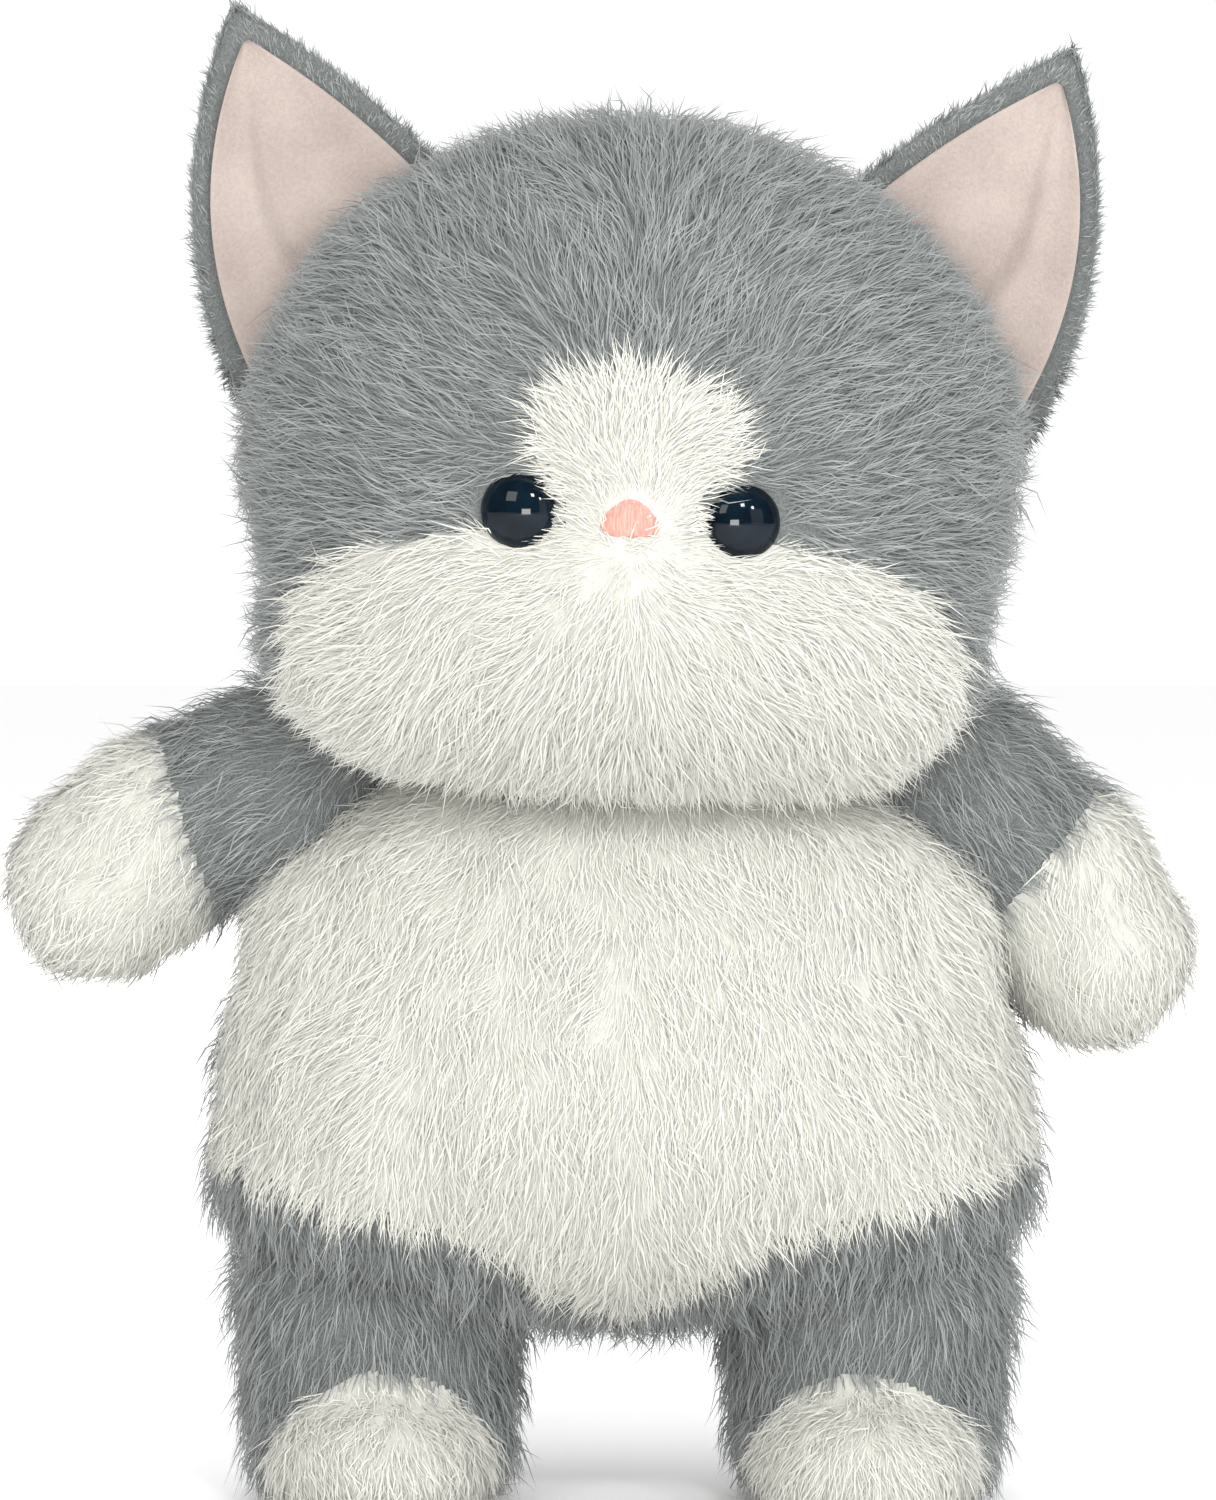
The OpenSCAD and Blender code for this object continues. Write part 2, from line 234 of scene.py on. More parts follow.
def star_mesh(field, centre, nu, nv, reach=260.0, pole=(0.0, 0.0, 1.0)):
    """The zero of a field as seen from a centre: one point along each direction of a globe's grid,
    found by halving. Returns points, triangles, and a longitude and latitude for each corner."""
    u = (np.arange(nu) + 0.5) / nu * 2 * math.pi
    v = np.linspace(POLE_GAP, math.pi - POLE_GAP, nv)
    uu, vv = np.meshgrid(u, v)
    pole = unit(np.array(pole, float))
    side = unit(np.cross(pole, [0.31, 0.95, 0.11]))      # any direction off the pole
    up = np.cross(pole, side)
    d = (np.sin(vv)[..., None] * (np.cos(uu)[..., None] * side + np.sin(uu)[..., None] * up)
         + np.cos(vv)[..., None] * pole).reshape(-1, 3)
    lo, hi = np.zeros(len(d)), np.full(len(d), reach)
    for _ in range(HALVINGS):
        mid = (lo + hi) / 2
        inside = field(centre + d * mid[:, None]) < 0
        lo, hi = np.where(inside, mid, lo), np.where(inside, hi, mid)
    points = centre + d * hi[:, None]
    i, j = np.meshgrid(np.arange(nu), np.arange(nv - 1))
    i2 = (i + 1) % nu
    a, b, c, e = j * nu + i, j * nu + i2, (j + 1) * nu + i2, (j + 1) * nu + i
    tris = np.concatenate([np.stack([a, e, b], -1).reshape(-1, 3), np.stack([b, e, c], -1).reshape(-1, 3)])
    uv_of = np.stack([uu.ravel() / (2 * math.pi), 1 - vv.ravel() / math.pi], -1)
    uv = uv_of[tris].copy()
    wrap = (uv[..., 0].max(1) - uv[..., 0].min(1)) > 0.5
    uv[wrap, :, 0] = np.where(uv[wrap, :, 0] < 0.5, uv[wrap, :, 0] + 1, uv[wrap, :, 0])
    return points, tris, uv


def outward(points, tris, centre):
    """Triangles wound so that they face away from a centre inside the form, and which were turned."""
    a, b, c = (points[tris[:, k]] for k in range(3))
    n = np.cross(b - a, c - a)
    flip = np.einsum("ij,ij->i", n, (a + b + c) / 3 - centre) < 0
    tris = tris.copy()
    tris[flip] = tris[flip][:, ::-1]
    return tris, flip


def point_normals(points, tris):
    """Each point's normal: the sum of its triangles' cross products, made one unit long."""
    a, b, c = (points[tris[:, k]] for k in range(3))
    n = np.cross(b - a, c - a)
    out = np.zeros_like(points)
    for k in range(3):
        for axis in range(3):
            out[:, axis] += np.bincount(tris[:, k], n[:, axis], len(points))
    return unit(out)


# ------------------------------------------------------------------ pile: hair by hair
# A hair is a thin closed three-sided thorn. Long hairs have a bend; the shorter down between them
# is straight. Neighbouring hairs share a tuft, and their tips lean together. Each hair takes one of
# SHADES columns of the UV map, root at the bottom and tip at the top, for its colour.
SHADES = 96
THICK = 1.27                      # hairs grown for each hair counted below
HAIR_WIDE = 0.50                  # millimetres, before each hair's own variation
HAIR_ROOT = 0.8                   # depth of the roots in the backing
FLOOR_CLEAR = 0.6                 # no hair hangs lower than this over the floor
THORN = {True: (7, [[0, 1, 4], [0, 4, 3], [1, 2, 5], [1, 5, 4], [2, 0, 3], [2, 3, 5],
                    [3, 4, 6], [4, 5, 6], [5, 3, 6], [0, 2, 1]]),
         False: (4, [[0, 1, 3], [1, 2, 3], [2, 0, 3], [0, 2, 1]])}


def scatter(points, normals, tris, count):
    """Random roots spread evenly by area over triangles. Returns places and normals."""
    a, b, c = (points[tris[:, k]] for k in range(3))
    cum = np.cumsum(np.linalg.norm(np.cross(b - a, c - a), axis=1))
    t = np.searchsorted(cum, rng.uniform(0, cum[-1], count))
    t = np.minimum(t, len(tris) - 1)
    r1, r2 = np.sqrt(rng.uniform(size=count)), rng.uniform(size=count)
    w = np.stack([1 - r1, r1 * (1 - r2), r1 * r2], -1)
    p = sum(points[tris[t, k]] * w[:, k:k + 1] for k in range(3))
    n = unit(sum(normals[tris[t, k]] * w[:, k:k + 1] for k in range(3)))
    return p, n


def tuft_ids(p, size):
    """Which tuft each root belongs to: cells of a tilted grid, warped so that no rows show."""
    q = p @ np.array([[0.80, 0.36, -0.48], [-0.60, 0.48, -0.64], [0.0, 0.80, 0.60]])
    q = q + 0.35 * size * np.sin(q[:, [1, 2, 0]] * 2.1 / size + 1.3)
    cell = np.floor(q / size).astype(np.int64)
    key = (cell[:, 0] * 73856093) ^ (cell[:, 1] * 19349663) ^ (cell[:, 2] * 83492791)
    _, ids = np.unique(key, return_inverse=True)
    return ids


def tuft_mean(values, ids):
    """For each row, the mean of the rows that share its tuft."""
    n = np.bincount(ids)
    return np.stack([np.bincount(ids, values[:, k]) / n for k in range(values.shape[1])], -1)[ids]


def hairs(p, n, flow, length, lift=0.5, droop=0.25, tuft=5.5, gather=0.26, frizz=0.30, shade=0.5,
          spread=0.5, long_share=0.36, face=None):
    """Long hairs, then down: for each, points, shading normals, triangles and UVs. A hair leaves the
    skin between its normal and its flow, bends towards the flow and down, and its tip is drawn to
    the middle of its tuft's tips. Shading normals lean to the skin's own, as in soft fur."""
    m = len(p)
    face = n if face is None else face
    ids = tuft_ids(p, tuft)
    k = ids.max() + 1
    flow = unit(flow - np.einsum("ij,ij->i", flow, n)[:, None] * n)
    across = np.cross(n, flow)
    swing = (rng.normal(scale=spread * 0.45, size=k)[ids] + rng.normal(scale=0.16, size=m)
             + lumps(p, 77, 26, 0.9))
    flow = unit(flow + across * swing[:, None])
    length = length * np.clip(rng.normal(1.0, 0.16, m), 0.45, 1.4) * rng.uniform(0.85, 1.12, k)[ids]
    rise = lift * (1 + rng.normal(scale=0.22, size=m) + rng.normal(scale=0.18, size=k)[ids])
    rise = np.clip(rise, 0.08, 1.2)
    d0 = unit(n * rise[:, None] + flow * (1 - 0.45 * rise)[:, None]
              + rng.normal(scale=frizz * 0.6, size=(m, 3)))
    d1 = unit(d0 * 0.45 + flow * 0.75 + n * (0.25 * rise)[:, None] + np.array([0, 0, -droop])
              + rng.normal(scale=frizz, size=(m, 3)))
    root = p - n * HAIR_ROOT
    mid = root + d0 * (length * 0.5)[:, None]
    tip = mid + d1 * (length * 0.55)[:, None]
    pull = gather * rng.uniform(0.3, 1.0, m)[:, None]
    tip = tip + (tuft_mean(tip, ids) - tip) * pull
    mid = mid + (tuft_mean(mid, ids) - mid) * pull * 0.35
    for q in (mid, tip):
        q[:, 2] = np.maximum(q[:, 2], FLOOR_CLEAR + rng.uniform(0, 0.8, m))
    axis = unit(tip - root)
    side = unit(np.cross(axis, rng.normal(size=(m, 3))))
    other = np.cross(axis, side)
    wide = HAIR_WIDE * rng.uniform(0.75, 1.25, m)
    spokes = [side * math.cos(a) + other * math.sin(a) for a in (0.0, 2 * math.pi / 3, 4 * math.pi / 3)]
    tone = shade + rng.normal(scale=0.13, size=m) + rng.normal(scale=0.10, size=k)[ids]
    column = np.clip((tone * SHADES).astype(int), 0, SHADES - 1)
    out = []
    for long, rows in ((True, slice(0, int(m * long_share))), (False, slice(int(m * long_share), m))):
        count, pattern = THORN[long]
        rings = ((root, 0.50), (mid, 0.42)) if long else ((root, 0.60),)
        end = tip if long else mid + (tip - mid) * 0.35
        verts = np.stack([c + s * (wide * r)[:, None] for c, r in rings for s in spokes] + [end], 1)[rows]
        soft = unit(np.stack([face + 0.35 * s for _ in rings for s in spokes] + [face + 0.2 * axis], 1)[rows])
        here = len(verts)
        tris = (np.arange(here)[:, None, None] * count + np.array(pattern)[None]).reshape(-1, 3)
        level = np.array([0.02] * 3 + [0.5] * 3 + [0.98] if long else [0.02] * 3 + [0.75])
        offset = np.array([0.12, 0.5, 0.88] * len(rings) + [0.5])
        uv = np.stack([(column[rows, None] + offset[None]) / SHADES,
                       np.broadcast_to(level, (here, count))], -1).reshape(-1, 2)[tris]
        out.append((verts.reshape(-1, 3), soft.reshape(-1, 3), tris, uv, count, len(pattern)))
    return out


def pile_material(name, root, middle, tip, tint):
    """Hair colour: a ramp from root to tip, made lighter or darker by the hair's own column."""
    mat = principled(name, middle, 0.62, Sheen_Weight=0.15, Sheen_Roughness=0.5, Specular_IOR_Level=0.25)
    uv = node(mat, "ShaderNodeUVMap", uv_map="OFBake")
    split = node(mat, "ShaderNodeSeparateXYZ")
    wire(mat, uv, "UV", split, 0)
    ramp = node(mat, "ShaderNodeValToRGB")
    ramp.color_ramp.elements[0].color = (*root, 1)
    ramp.color_ramp.elements[1].color = (*tip, 1)
    ramp.color_ramp.elements.new(0.5).color = (*middle, 1)
    wire(mat, split, "Y", ramp, "Fac")
    step = node(mat, "ShaderNodeMath", operation="SNAP")
    step.inputs[1].default_value = 1.0 / SHADES
    wire(mat, split, "X", step, 0)
    tone = node(mat, "ShaderNodeMapRange", To_Min=1 - tint * 1.6, To_Max=1 + tint)
    wire(mat, step, 0, tone, "Value")
    mix = node(mat, "ShaderNodeMix", data_type="RGBA", blend_type="MULTIPLY")
    mix.inputs[0].default_value = 1.0
    wire(mat, ramp, "Color", mix, 6)
    wire(mat, tone, "Result", mix, 7)
    wire(mat, mix, 2, shader(mat), "Base Color")
    return mat


def noise_of(mat, scale, detail=2.0, stretch=None, **props):
    """Noise over the piece's own Object coordinates, drawn out along an axis whose stretch is small."""
    noise = node(mat, "ShaderNodeTexNoise", Scale=scale, Detail=detail, **props)
    source, output = node(mat, "ShaderNodeTexCoord"), "Object"
    if stretch:
        mapping = node(mat, "ShaderNodeMapping")
        mapping.inputs["Scale"].default_value = stretch
        wire(mat, source, output, mapping, "Vector")
        source, output = mapping, "Vector"
    wire(mat, source, output, noise, "Vector")
    return noise


def two_tone(mat, source, output, dark, light, margin=0.35):
    """Base colour from dark to light as the source goes from margin to one less margin."""
    ramp = node(mat, "ShaderNodeValToRGB")
    for element, place, color in zip(ramp.color_ramp.elements, (margin, 1 - margin), (dark, light)):
        element.position = place
        element.color = (*color, 1)
    wire(mat, source, output, ramp, "Fac")
    wire(mat, ramp, "Color", shader(mat), "Base Color")


def backing_material(name, color, dark):
    """Knitted backing seen between hairs: fine speckles of two tones, both darker than the middle of the
    hair, as painted shade of the deep gaps between hairs.
    """
    mat = principled(name, color, 0.95, Specular_IOR_Level=0.1)
    two_tone(mat, noise_of(mat, 1600.0), "Fac", dark, color)
    return mat


GREY_PILE = pile_material("grey_pile", (0.160, 0.173, 0.172), (0.278, 0.298, 0.296),
                          (0.44, 0.462, 0.455), 0.20)
# Painted shade: the white hair is darker at its root than at its middle and tip.
WHITE_PILE = pile_material("white_pile", (0.60, 0.595, 0.537), (0.735, 0.73, 0.67),
                           (0.78, 0.775, 0.715), 0.02)
# Backing colours darker than the pile: painted shade between the hairs.
GREY_BACK = backing_material("grey_backing", (0.19, 0.203, 0.20), (0.12, 0.129, 0.127))
WHITE_BACK = backing_material("white_backing", (0.60, 0.595, 0.545), (0.54, 0.535, 0.49))

PIECE_TRIS = 190000               # most triangles in one piece of hair


def skin_piece(cad_node, body, points, tris, uv, mat):
    """One sewn panel of fabric, without its hair."""
    used, back = np.unique(tris, return_inverse=True)
    obj = add_mesh(f"{cad_node}_fabric", points[used], back.reshape(-1, 3), mat, uv=uv)
    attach(obj, body)
    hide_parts(cad_node)


def pile_pieces(cad_node, body, hair, mat):
    """The hair of one panel, in as many pieces as its count needs."""
    for kind, (verts, soft, tris, uv, nv, nt) in zip(("pile", "down"), hair):
        total = len(verts) // nv
        if total == 0:
            continue
        parts = -(-total * nt // PIECE_TRIS)
        for i, rows in enumerate(np.array_split(np.arange(total), parts)):
            a, b = rows[0], rows[-1] + 1
            part = add_mesh(f"{cad_node}_{kind}_{i + 1}", verts[a * nv:b * nv], tris[a * nt:b * nt] - a * nv,
                            mat, uv=uv[a * nt:b * nt], normals=soft[a * nv:b * nv])
            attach(part, body)


def panels(body, centre, points, tris, uv, region_of, specs):
    """Cuts a form into its sewn panels and grows the hair on each. region_of gives each triangle a
    panel's name; specs gives, per panel, its colour, hair count and a function that combs it."""
    tris, flip = outward(points, tris, centre)
    uv = uv.copy()
    uv[flip] = uv[flip][:, ::-1]
    normals = point_normals(points, tris)
    region = region_of(points[tris].mean(1))
    for name, (white, count, comb) in specs.items():
        keep = region == name
        skin_piece(name, body, points, tris[keep], uv[keep], WHITE_BACK if white else GREY_BACK)
        p, n = scatter(points, normals, tris[keep], int(count * THICK))
        pile_pieces(name, body, comb(p, n), WHITE_PILE if white else GREY_PILE)


def jitter(p, amount, seed):
    """Points moved a little by slow noise, so that a colour border wanders like cut fur."""
    return p + np.stack([lumps(p, seed + k, 9.0, amount) for k in range(3)], -1)


# ------------------------------------------------------------------ body
# A stuffed pear of knitted plush, white in front and grey behind. Its four panels are sewn along the
# sides and down the middle, and the stitched join to the legs is hidden in the pile.
BODY_MID = AXIS + (0, 0, 140)
HIP = AXIS + (0, 0, 126)
CHEST = AXIS + (0, 3, 172)


def body_field(p):
    seat = [egg(p, HIP + (s * 58, 2, -26), (61, 60, 42)) for s in (-1, 1)]
    return melt([egg(p, HIP, (118, 85, 71)), egg(p, CHEST, (112, 71, 60)), *seat], 5.0) + lumps(p, 3, 40, 2.0)


def belly_edge(x):
    """Height of the white belly's lower edge at a distance from the middle: a shallow point."""
    return np.interp(np.abs(x), [0, 25, 45, 84, 122, 140], [60, 74, 88, 95, 108, 110])


def body_region(c):
    c = jitter(c, 2.5, 40)
    d = c - AXIS
    white = (d[:, 1] < 4) & (d[:, 2] > belly_edge(d[:, 0]))
    left = d[:, 0] > 0
    return np.where(white, np.where(left, "belly_left", "belly_right"),
                    np.where(left, "back_left", "back_right"))


DENSE = {"gather": 0.10, "tuft": 5.0}        # white plush: small tufts whose tips hardly gather


def comb_belly(p, n):
    """Down, and outward towards the sides; both halves part slightly along the middle seam."""
    d = p - AXIS
    out = np.sign(d[:, 0]) * (0.10 + 0.5 * np.clip(np.abs(d[:, 0]) / 120, 0, 1) ** 2)
    flow = np.stack([out, np.zeros(len(p)), -np.ones(len(p))], -1)
    return hairs(p, n, flow, 14.0, lift=0.26, droop=0.12, frizz=0.26, shade=0.62, long_share=0.24, **DENSE)


def comb_back(p, n):
    """Down, and slightly outward."""
    flow = np.stack([0.2 * (p[:, 0] - AXIS[0]) / 100, np.zeros(len(p)), -np.ones(len(p))], -1)
    return hairs(p, n, flow, 17.0, lift=0.45, droop=0.25, tuft=6.5)


points, tris, uv = star_mesh(body_field, BODY_MID, 220, 150)
panels("torso", BODY_MID, points, tris, uv, body_region, {
    "belly_left": (True, 21000, comb_belly), "belly_right": (True, 21000, comb_belly),
    "back_left": (False, 10000, comb_back), "back_right": (False, 10000, comb_back)})

# ------------------------------------------------------------------ head
# A wide round head with full cheeks, sewn from seven panels of the same plush and stuffed. Its shape
# is worked out upright and then turned about the neck. A dent holds each eye.
SKULL = FACE + (0, -6, 313)
MUZZLE = FACE + (0, -44, 267)
NOSE_AT = FACE + (0, -98, 292)
EYE_X, EYE_Z = 31.5, 299.0
NOSE_Z = 297.0
CHEEK_Z = 252.0
FACE_FRONT = -40.0                # eyes and nose are in front of this depth


def upright(p):
    return turn_y(p, -LEAN, NECK)


def head_field(p):
    p = upright(p)
    d = p - FACE
    jowl = [egg(p, FACE + (s * 52, -34, 258), (50, 46, 38)) for s in (-1, 1)]
    field = melt([egg(p, SKULL, (113, 91, 99)), egg(p, MUZZLE, (86, 57, 50)), *jowl], 5.0)
    socket = np.exp(-((np.abs(d[:, 0]) - EYE_X) ** 2 + (d[:, 2] - EYE_Z) ** 2) / 220.0)
    return field + np.where(d[:, 1] < FACE_FRONT, 6.0 * socket, 0.0) + lumps(p, 9, 45, 1.6)


def head_region(c):
    d = upright(jitter(c, 1.5, 50)) - FACE
    front = d[:, 1] < -4
    half_h = np.where(d[:, 2] > CHEEK_Z, 43, 44)
    cheek = np.abs(d[:, 0] / 97) ** 2.6 + np.abs((d[:, 2] - CHEEK_Z) / half_h) ** 2.6 < 1
    half_w = np.interp(d[:, 2], [280, 303, 316, 328, 335, 338], [17, 19, 28, 26, 20, 0])
    blaze = (np.abs(d[:, 0]) < half_w) & ~cheek
    left = d[:, 0] > 0
    return np.where(front & cheek, np.where(left, "cheek_left", "cheek_right"),
                    np.where(front & blaze, "blaze",
                             np.where(front, np.where(left, "forehead_left", "forehead_right"),
                                      np.where(left, "head_back_left", "head_back_right"))))


def away_from_nose(p):
    return unit(p - turn_y(NOSE_AT[None], LEAN, NECK)[0])


def nose_ring(d):
    """1 on an oval just inside the nose's edge, less within it and more outside."""
    return (d[:, 0] / 7.6) ** 2 + ((d[:, 2] - NOSE_Z) / 5.0) ** 2


def clear_of_face(p, n):
    """Drops the roots that would stand under an eye or the nose."""
    d = upright(p) - FACE
    eye = np.hypot(np.abs(d[:, 0]) - EYE_X, d[:, 2] - EYE_Z) < 10.8
    keep = ~((eye | (nose_ring(d) < 1)) & (d[:, 1] < FACE_FRONT))
    return p[keep], n[keep]


def towards_nose(p, flow):
    """Turns half of the hairs at the nose inward, so that they cross its edge."""
    d = upright(p) - FACE
    rim = (nose_ring(d) < 2.4) & (d[:, 1] < FACE_FRONT)
    return np.where((rim & (rng.uniform(size=len(p)) < 0.5))[:, None], -flow, flow)


def near_face(p):
    """1 at the nose and the inner eyes, falling to 0 at a hand's width, where hair is long."""
    d = upright(p) - FACE
    return np.exp(-((d[:, 0] / 46) ** 2 + ((d[:, 2] - 296) / 26) ** 2))


def comb_cheek(p, n):
    p, n = clear_of_face(p, n)
    close = near_face(p)
    flow = towards_nose(p, away_from_nose(p) + np.array([0, 0, -0.15]))
    # Painted shade: the cheeks' white hair is made a little darker than the belly's, and darkest at the nose
    # and inner eyes.
    return hairs(p, n, flow, 16.5 - 8.5 * close, lift=0.28, droop=0.12, frizz=0.26,
                 shade=0.22 - 0.20 * close, long_share=0.24, **DENSE)


def comb_brow(p, n):
    """Away from the nose, parted a little along the middle."""
    p, n = clear_of_face(p, n)
    close = near_face(p)
    d = upright(p) - FACE
    part = 0.35 * np.sign(d[:, 0]) * (np.abs(d[:, 0]) > 6)
    flow = towards_nose(p, away_from_nose(p) + np.stack([part, 0 * close, 0 * close], -1))
    return hairs(p, n, flow, 15.5 - 8.0 * close, lift=0.40, droop=0.05, tuft=5.5)


def comb_crown(p, n):
    """Away from the nose and down."""
    flow = away_from_nose(p) + np.array([0, 0, -0.5])
    return hairs(p, n, flow, 16.0, lift=0.45, droop=0.2, tuft=6.5)


HEAD_MID = FACE + (0, -12, 295)
points, tris, uv = star_mesh(head_field, HEAD_MID, 240, 160)
panels("head", HEAD_MID, points, tris, uv, head_region, {
    "cheek_left": (True, 16000, comb_cheek), "cheek_right": (True, 16000, comb_cheek),
    "blaze": (True, 3000, comb_brow),
    "forehead_left": (False, 13500, comb_brow), "forehead_right": (False, 13500, comb_brow),
    "head_back_left": (False, 8000, comb_crown), "head_back_right": (False, 8000, comb_crown)})

# ------------------------------------------------------------------ ears
# A soft triangle of two layers: long grey pile behind, short pink pile in front, sewn round its
# edge. The front is cupped and creases towards its base, where it is gathered into the head seam.
EAR_INNER, EAR_OUTER, EAR_TIP = np.array([57.0, 391.0]), np.array([115.0, 320.0]), np.array([125.0, 440.0])
EAR_MIDDLE = np.array([104.0, 384.0])
EAR_END = 0.985                   # the last row of an ear, just short of the point of its tip
EAR_Y = 10.0


def ear_frame(s, t, inset):
    """Where a point s up and t across an ear stands: straight lines from an arc on the head to a
    bowed tip, drawn in from the edge by inset. Returns x and z before the head leans."""
    chord = EAR_OUTER - EAR_INNER
    out = np.array([-chord[1], chord[0]]) / np.linalg.norm(chord)
    base = EAR_INNER + chord * t[..., None] + out * (9.0 * 4 * t * (1 - t))[..., None]
    line = EAR_TIP - base
    edge_out = np.stack([line[..., 1], -line[..., 0]], -1) / np.linalg.norm(line, axis=-1, keepdims=True)
    bow = (-3.0 + 17.0 * t) * 4 * s * (1 - s)
    p = base + line * s[..., None] + edge_out * bow[..., None]
    return p + (EAR_MIDDLE - p) * (inset / 40.0)


def two_layers(rows, cols, ring=False):
    """Quads of a closed piece made of two grids, one before the other, and a hem between their edges.
    With ring, rows are rings and only the last one is an edge. All the quads face one way, in or out."""
    grid = np.arange(rows * cols).reshape(rows, cols)
    near = np.concatenate([grid, grid[:, :1]], 1) if ring else grid
    layer = np.stack([near[:-1, :-1], near[:-1, 1:], near[1:, 1:], near[1:, :-1]], -1).reshape(-1, 4)
    edge = grid[-1, ::-1] if ring else np.concatenate([grid[0], grid[1:, -1], grid[-1, -2::-1],
                                                       grid[-2:0:-1, 0]])
    after = np.roll(edge, -1)
    hem = np.stack([edge + grid.size, after + grid.size, after, edge], -1)
    return np.concatenate([layer, layer[:, ::-1] + grid.size, hem])


def ear_sheet(side, front, back, inset, nu=48, nv=56):
    """A closed lens: its front and back depths are functions of s and t that meet at the edge.
    Returns points, triangles, UVs and each point's s and t."""
    s, t = np.meshgrid(np.linspace(0, EAR_END, nv), np.linspace(0, 1, nu), indexing="ij")
    xz = ear_frame(s, t, inset)
    layers = [np.stack([side * xz[..., 0], depth, xz[..., 1]], -1).reshape(-1, 3)
              for depth in (front(s, t), back(s, t))]
    pts = turn_y(np.concatenate(layers) + FACE, LEAN, NECK)
    tris = split(two_layers(nv, nu))
    if side < 0:
        tris = tris[:, ::-1]
    uv_of = np.concatenate([np.stack([half + 0.5 * t, s], -1).reshape(-1, 2) for half in (0.0, 0.5)])
    return pts, tris, uv_of[tris], np.concatenate([np.stack([s, t], -1).reshape(-1, 2)] * 2)


def cup(s, t):
    """Depth of the front: hollow in the middle, with three creases that fade towards the tip."""
    hollow = 5.0 * (4 * t * (1 - t)) ** 0.8 * (1 - 0.65 * s)
    crease = sum(a * np.exp(-((t - c - 0.05 * np.sin(5 * s)) / w) ** 2) * (1 - s) ** 1.3
                 for a, c, w in ((-3.2, 0.62, 0.07), (2.4, 0.50, 0.06), (-2.0, 0.30, 0.08)))
    return hollow + crease


def pad(s, t):
    """1 inside an ear, 0 at its edge."""
    return np.clip(16 * t * (1 - t), 0, 1) ** 0.5 * np.clip(6 * (EAR_END - s), 0, 1) ** 0.5


PINK = principled("pink_short_pile", (0.42, 0.35, 0.32), 0.8, Sheen_Weight=0.12, Sheen_Roughness=0.4,
                  Specular_IOR_Level=0.2)
grain = noise_of(PINK, 900.0, 3.0, Roughness=0.7)
both = node(PINK, "ShaderNodeMath", operation="ADD")
wire(PINK, grain, "Fac", both, 0)
wire(PINK, noise_of(PINK, 45.0), "Fac", both, 1)
half = node(PINK, "ShaderNodeMath", operation="MULTIPLY")
half.inputs[1].default_value = 0.5
wire(PINK, both, 0, half, 0)
two_tone(PINK, half, 0, (0.36, 0.295, 0.268), (0.46, 0.39, 0.355))
bump = node(PINK, "ShaderNodeBump", Strength=0.5, Distance=0.0006)
wire(PINK, grain, "Fac", bump, "Height")
wire(PINK, bump, "Normal", shader(PINK), "Normal")

LINING_INSET = 5.5
BACK_INSET = -1.5
EAR_HAIRS = 3600                  # on the back of an ear, and as many again round its rim
for side, name in ((1, "left"), (-1, "right")):
    pts, tris, uv, _ = ear_sheet(side, lambda s, t: EAR_Y - 1.9 + cup(s, t) - 0.8 * pad(s, t),
                                 lambda s, t: EAR_Y - 1.5 + cup(s, t) + 0.6 * pad(s, t), LINING_INSET)
    lining = add_mesh(f"ear_lining_{name}_fabric", pts, tris, PINK, uv=uv)
    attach(lining, f"ear_{name}")
    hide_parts(f"ear_lining_{name}")

    pts, tris, uv, st = ear_sheet(side, lambda s, t: EAR_Y - 0.9 + cup(s, t) + 0.6 * pad(s, t),
                                  lambda s, t: EAR_Y + cup(s, t) + 5.5 * pad(s, t), BACK_INSET)
    skin_piece(f"ear_back_{name}", f"ear_{name}", pts, tris, uv, GREY_BACK)
    normals = point_normals(pts, tris)
    behind = tris.min(1) >= len(pts) // 2
    s, t = st[tris].mean(1).T
    from_edge = np.minimum(90 * (1 - s) * np.minimum(t, 1 - t), 120 * (EAR_END - s))    # about millimetres
    rim = ~behind & (from_edge < 6.5)
    ear_mid = turn_y(np.array([[side * 96.0, EAR_Y, 366.0]]) + FACE, LEAN, NECK)[0]

    def comb_ear(p, n):
        """Outward and up towards the tip; round the rim it is short and lit from the front."""
        out = unit((p - ear_mid) * (1, 0, 1))
        front = n[:, 1] < 0.3
        return hairs(p, n, out + np.array([side * 0.2, 0.0, 0.35]), np.where(front, 4.2, 7.0),
                     lift=0.30, droop=0.05, tuft=4.0, spread=0.3,
                     face=np.where(front[:, None], unit(0.4 * out + np.array([0, -0.9, 0.1])),
                                   unit(n + out)))

    p1, n1 = scatter(pts, normals, tris[behind], EAR_HAIRS)
    p2, n2 = scatter(pts, normals, tris[rim], EAR_HAIRS)
    n2 = unit(n2 + np.array([0, -0.2, 0]))
    order = rng.permutation(len(p1) + len(p2))
    hair = comb_ear(np.concatenate([p1, p2])[order], np.concatenate([n1, n2])[order])
    pile_pieces(f"ear_back_{name}", f"ear_{name}", hair, GREY_PILE)

# ------------------------------------------------------------------ eyes and nose
# Glossy dark domes in a brown rim: the moulded pieces of the frame keep their shape and get lacquer.
EYE_DARK = principled("eye_dome_lacquer", (0.004, 0.010, 0.018), 0.05, Specular_IOR_Level=0.28)
EYE_RIM = principled("eye_rim_plastic", (0.20, 0.07, 0.035), 0.18, Specular_IOR_Level=0.4)
two_tone(EYE_DARK, noise_of(EYE_DARK, 120.0), "Fac", (0.0015, 0.004, 0.008), (0.003, 0.010, 0.018), 0.3)
two_tone(EYE_RIM, noise_of(EYE_RIM, 300.0), "Fac", (0.14, 0.040, 0.020), (0.30, 0.10, 0.05), 0.3)


def repaint(cad_node, mat):
    """A CAD node keeps its shape and takes a finished material."""
    mesh = frame["nodes"][cad_node].data
    mesh.materials.clear()
    mesh.materials.append(mat)


for name in ("left", "right"):
    repaint(f"eye_dome_{name}", EYE_DARK)
    repaint(f"eye_rim_{name}", EYE_RIM)

